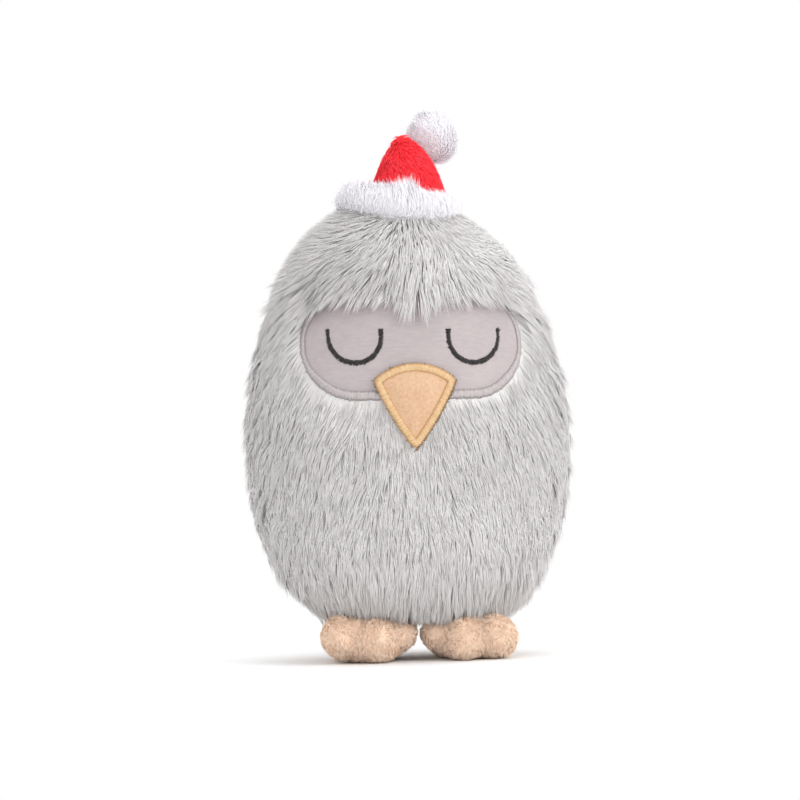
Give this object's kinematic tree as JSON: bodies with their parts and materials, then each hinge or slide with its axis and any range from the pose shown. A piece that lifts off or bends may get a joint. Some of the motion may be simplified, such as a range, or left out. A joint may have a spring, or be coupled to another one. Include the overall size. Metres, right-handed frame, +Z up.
{
  "type": "plush owl",
  "caption": "Egg-shaped plush owl in long grey pile, with an embroidered sleeping face, felt beak, stuffed feet with toes and a small red hat with a white bobble.",
  "frame": {"origin": "on the floor under the middle of the body", "axes": "+Z up through the hat, the owl looks along -Y, +X to its right-hand side as seen from the front"},
  "size_m": [0.1312, 0.096, 0.2177],
  "materials": {
    "grey_plush": "long-pile plush, light warm grey",
    "white_plush": "long-pile plush, white",
    "red_plush": "short-pile plush, bright red",
    "peach_plush": "short-pile plush, peach",
    "face_velour": "short-pile velour, mauve grey",
    "face_thread": "satin-stitch thread, mauve grey",
    "black_thread": "satin-stitch thread, black",
    "beak_felt": "brushed felt, tan",
    "beak_thread": "satin-stitch thread, tan",
    "stuffing": "polyester fibre, white"
  },
  "bodies": {
    "body": {"front_panel": "grey_plush", "back_left_panel": "grey_plush", "back_right_panel": "grey_plush", "base_panel": "grey_plush", "body_stuffing": "stuffing", "face_patch": "face_velour", "face_border": "face_thread", "eye_left": "black_thread", "eye_right": "black_thread", "beak": "beak_felt", "beak_border": "beak_thread", "hat_band": "white_plush", "hat_cone": "red_plush", "hat_stuffing": "stuffing"},
    "foot_left": {"foot_left_top": "peach_plush", "foot_left_sole": "peach_plush", "foot_left_stuffing": "stuffing"},
    "foot_right": {"foot_right_top": "peach_plush", "foot_right_sole": "peach_plush", "foot_right_stuffing": "stuffing"},
    "hat_tip": {"hat_tip": "red_plush"},
    "bobble": {"bobble_cover": "white_plush", "bobble_stuffing": "stuffing"}
  },
  "joints": [
    {"name": "foot_left_flex", "type": "hinge", "parent": "body", "child": "foot_left", "pos_m": [-0.0202, 0.026, 0.014], "axis": [1, 0, 0], "range_deg": [0, 30], "stiffness_Nm_per_rad": 0.4},
    {"name": "foot_right_flex", "type": "hinge", "parent": "body", "child": "foot_right", "pos_m": [0.0202, 0.026, 0.014], "axis": [1, 0, 0], "range_deg": [0, 30], "stiffness_Nm_per_rad": 0.4},
    {"name": "hat_flop", "type": "hinge", "parent": "body", "child": "hat_tip", "pos_m": [0.0065, 0.0095, 0.1994], "axis": [-0.5849, 0.8111, 0], "range_deg": [-5, 35], "stiffness_Nm_per_rad": 0.02},
    {"name": "bobble_swing", "type": "hinge", "parent": "hat_tip", "child": "bobble", "pos_m": [0.0091, 0.0114, 0.2015], "axis": [-0.5849, 0.8111, 0], "range_deg": [-20, 20], "stiffness_Nm_per_rad": 0.02}
  ]
}
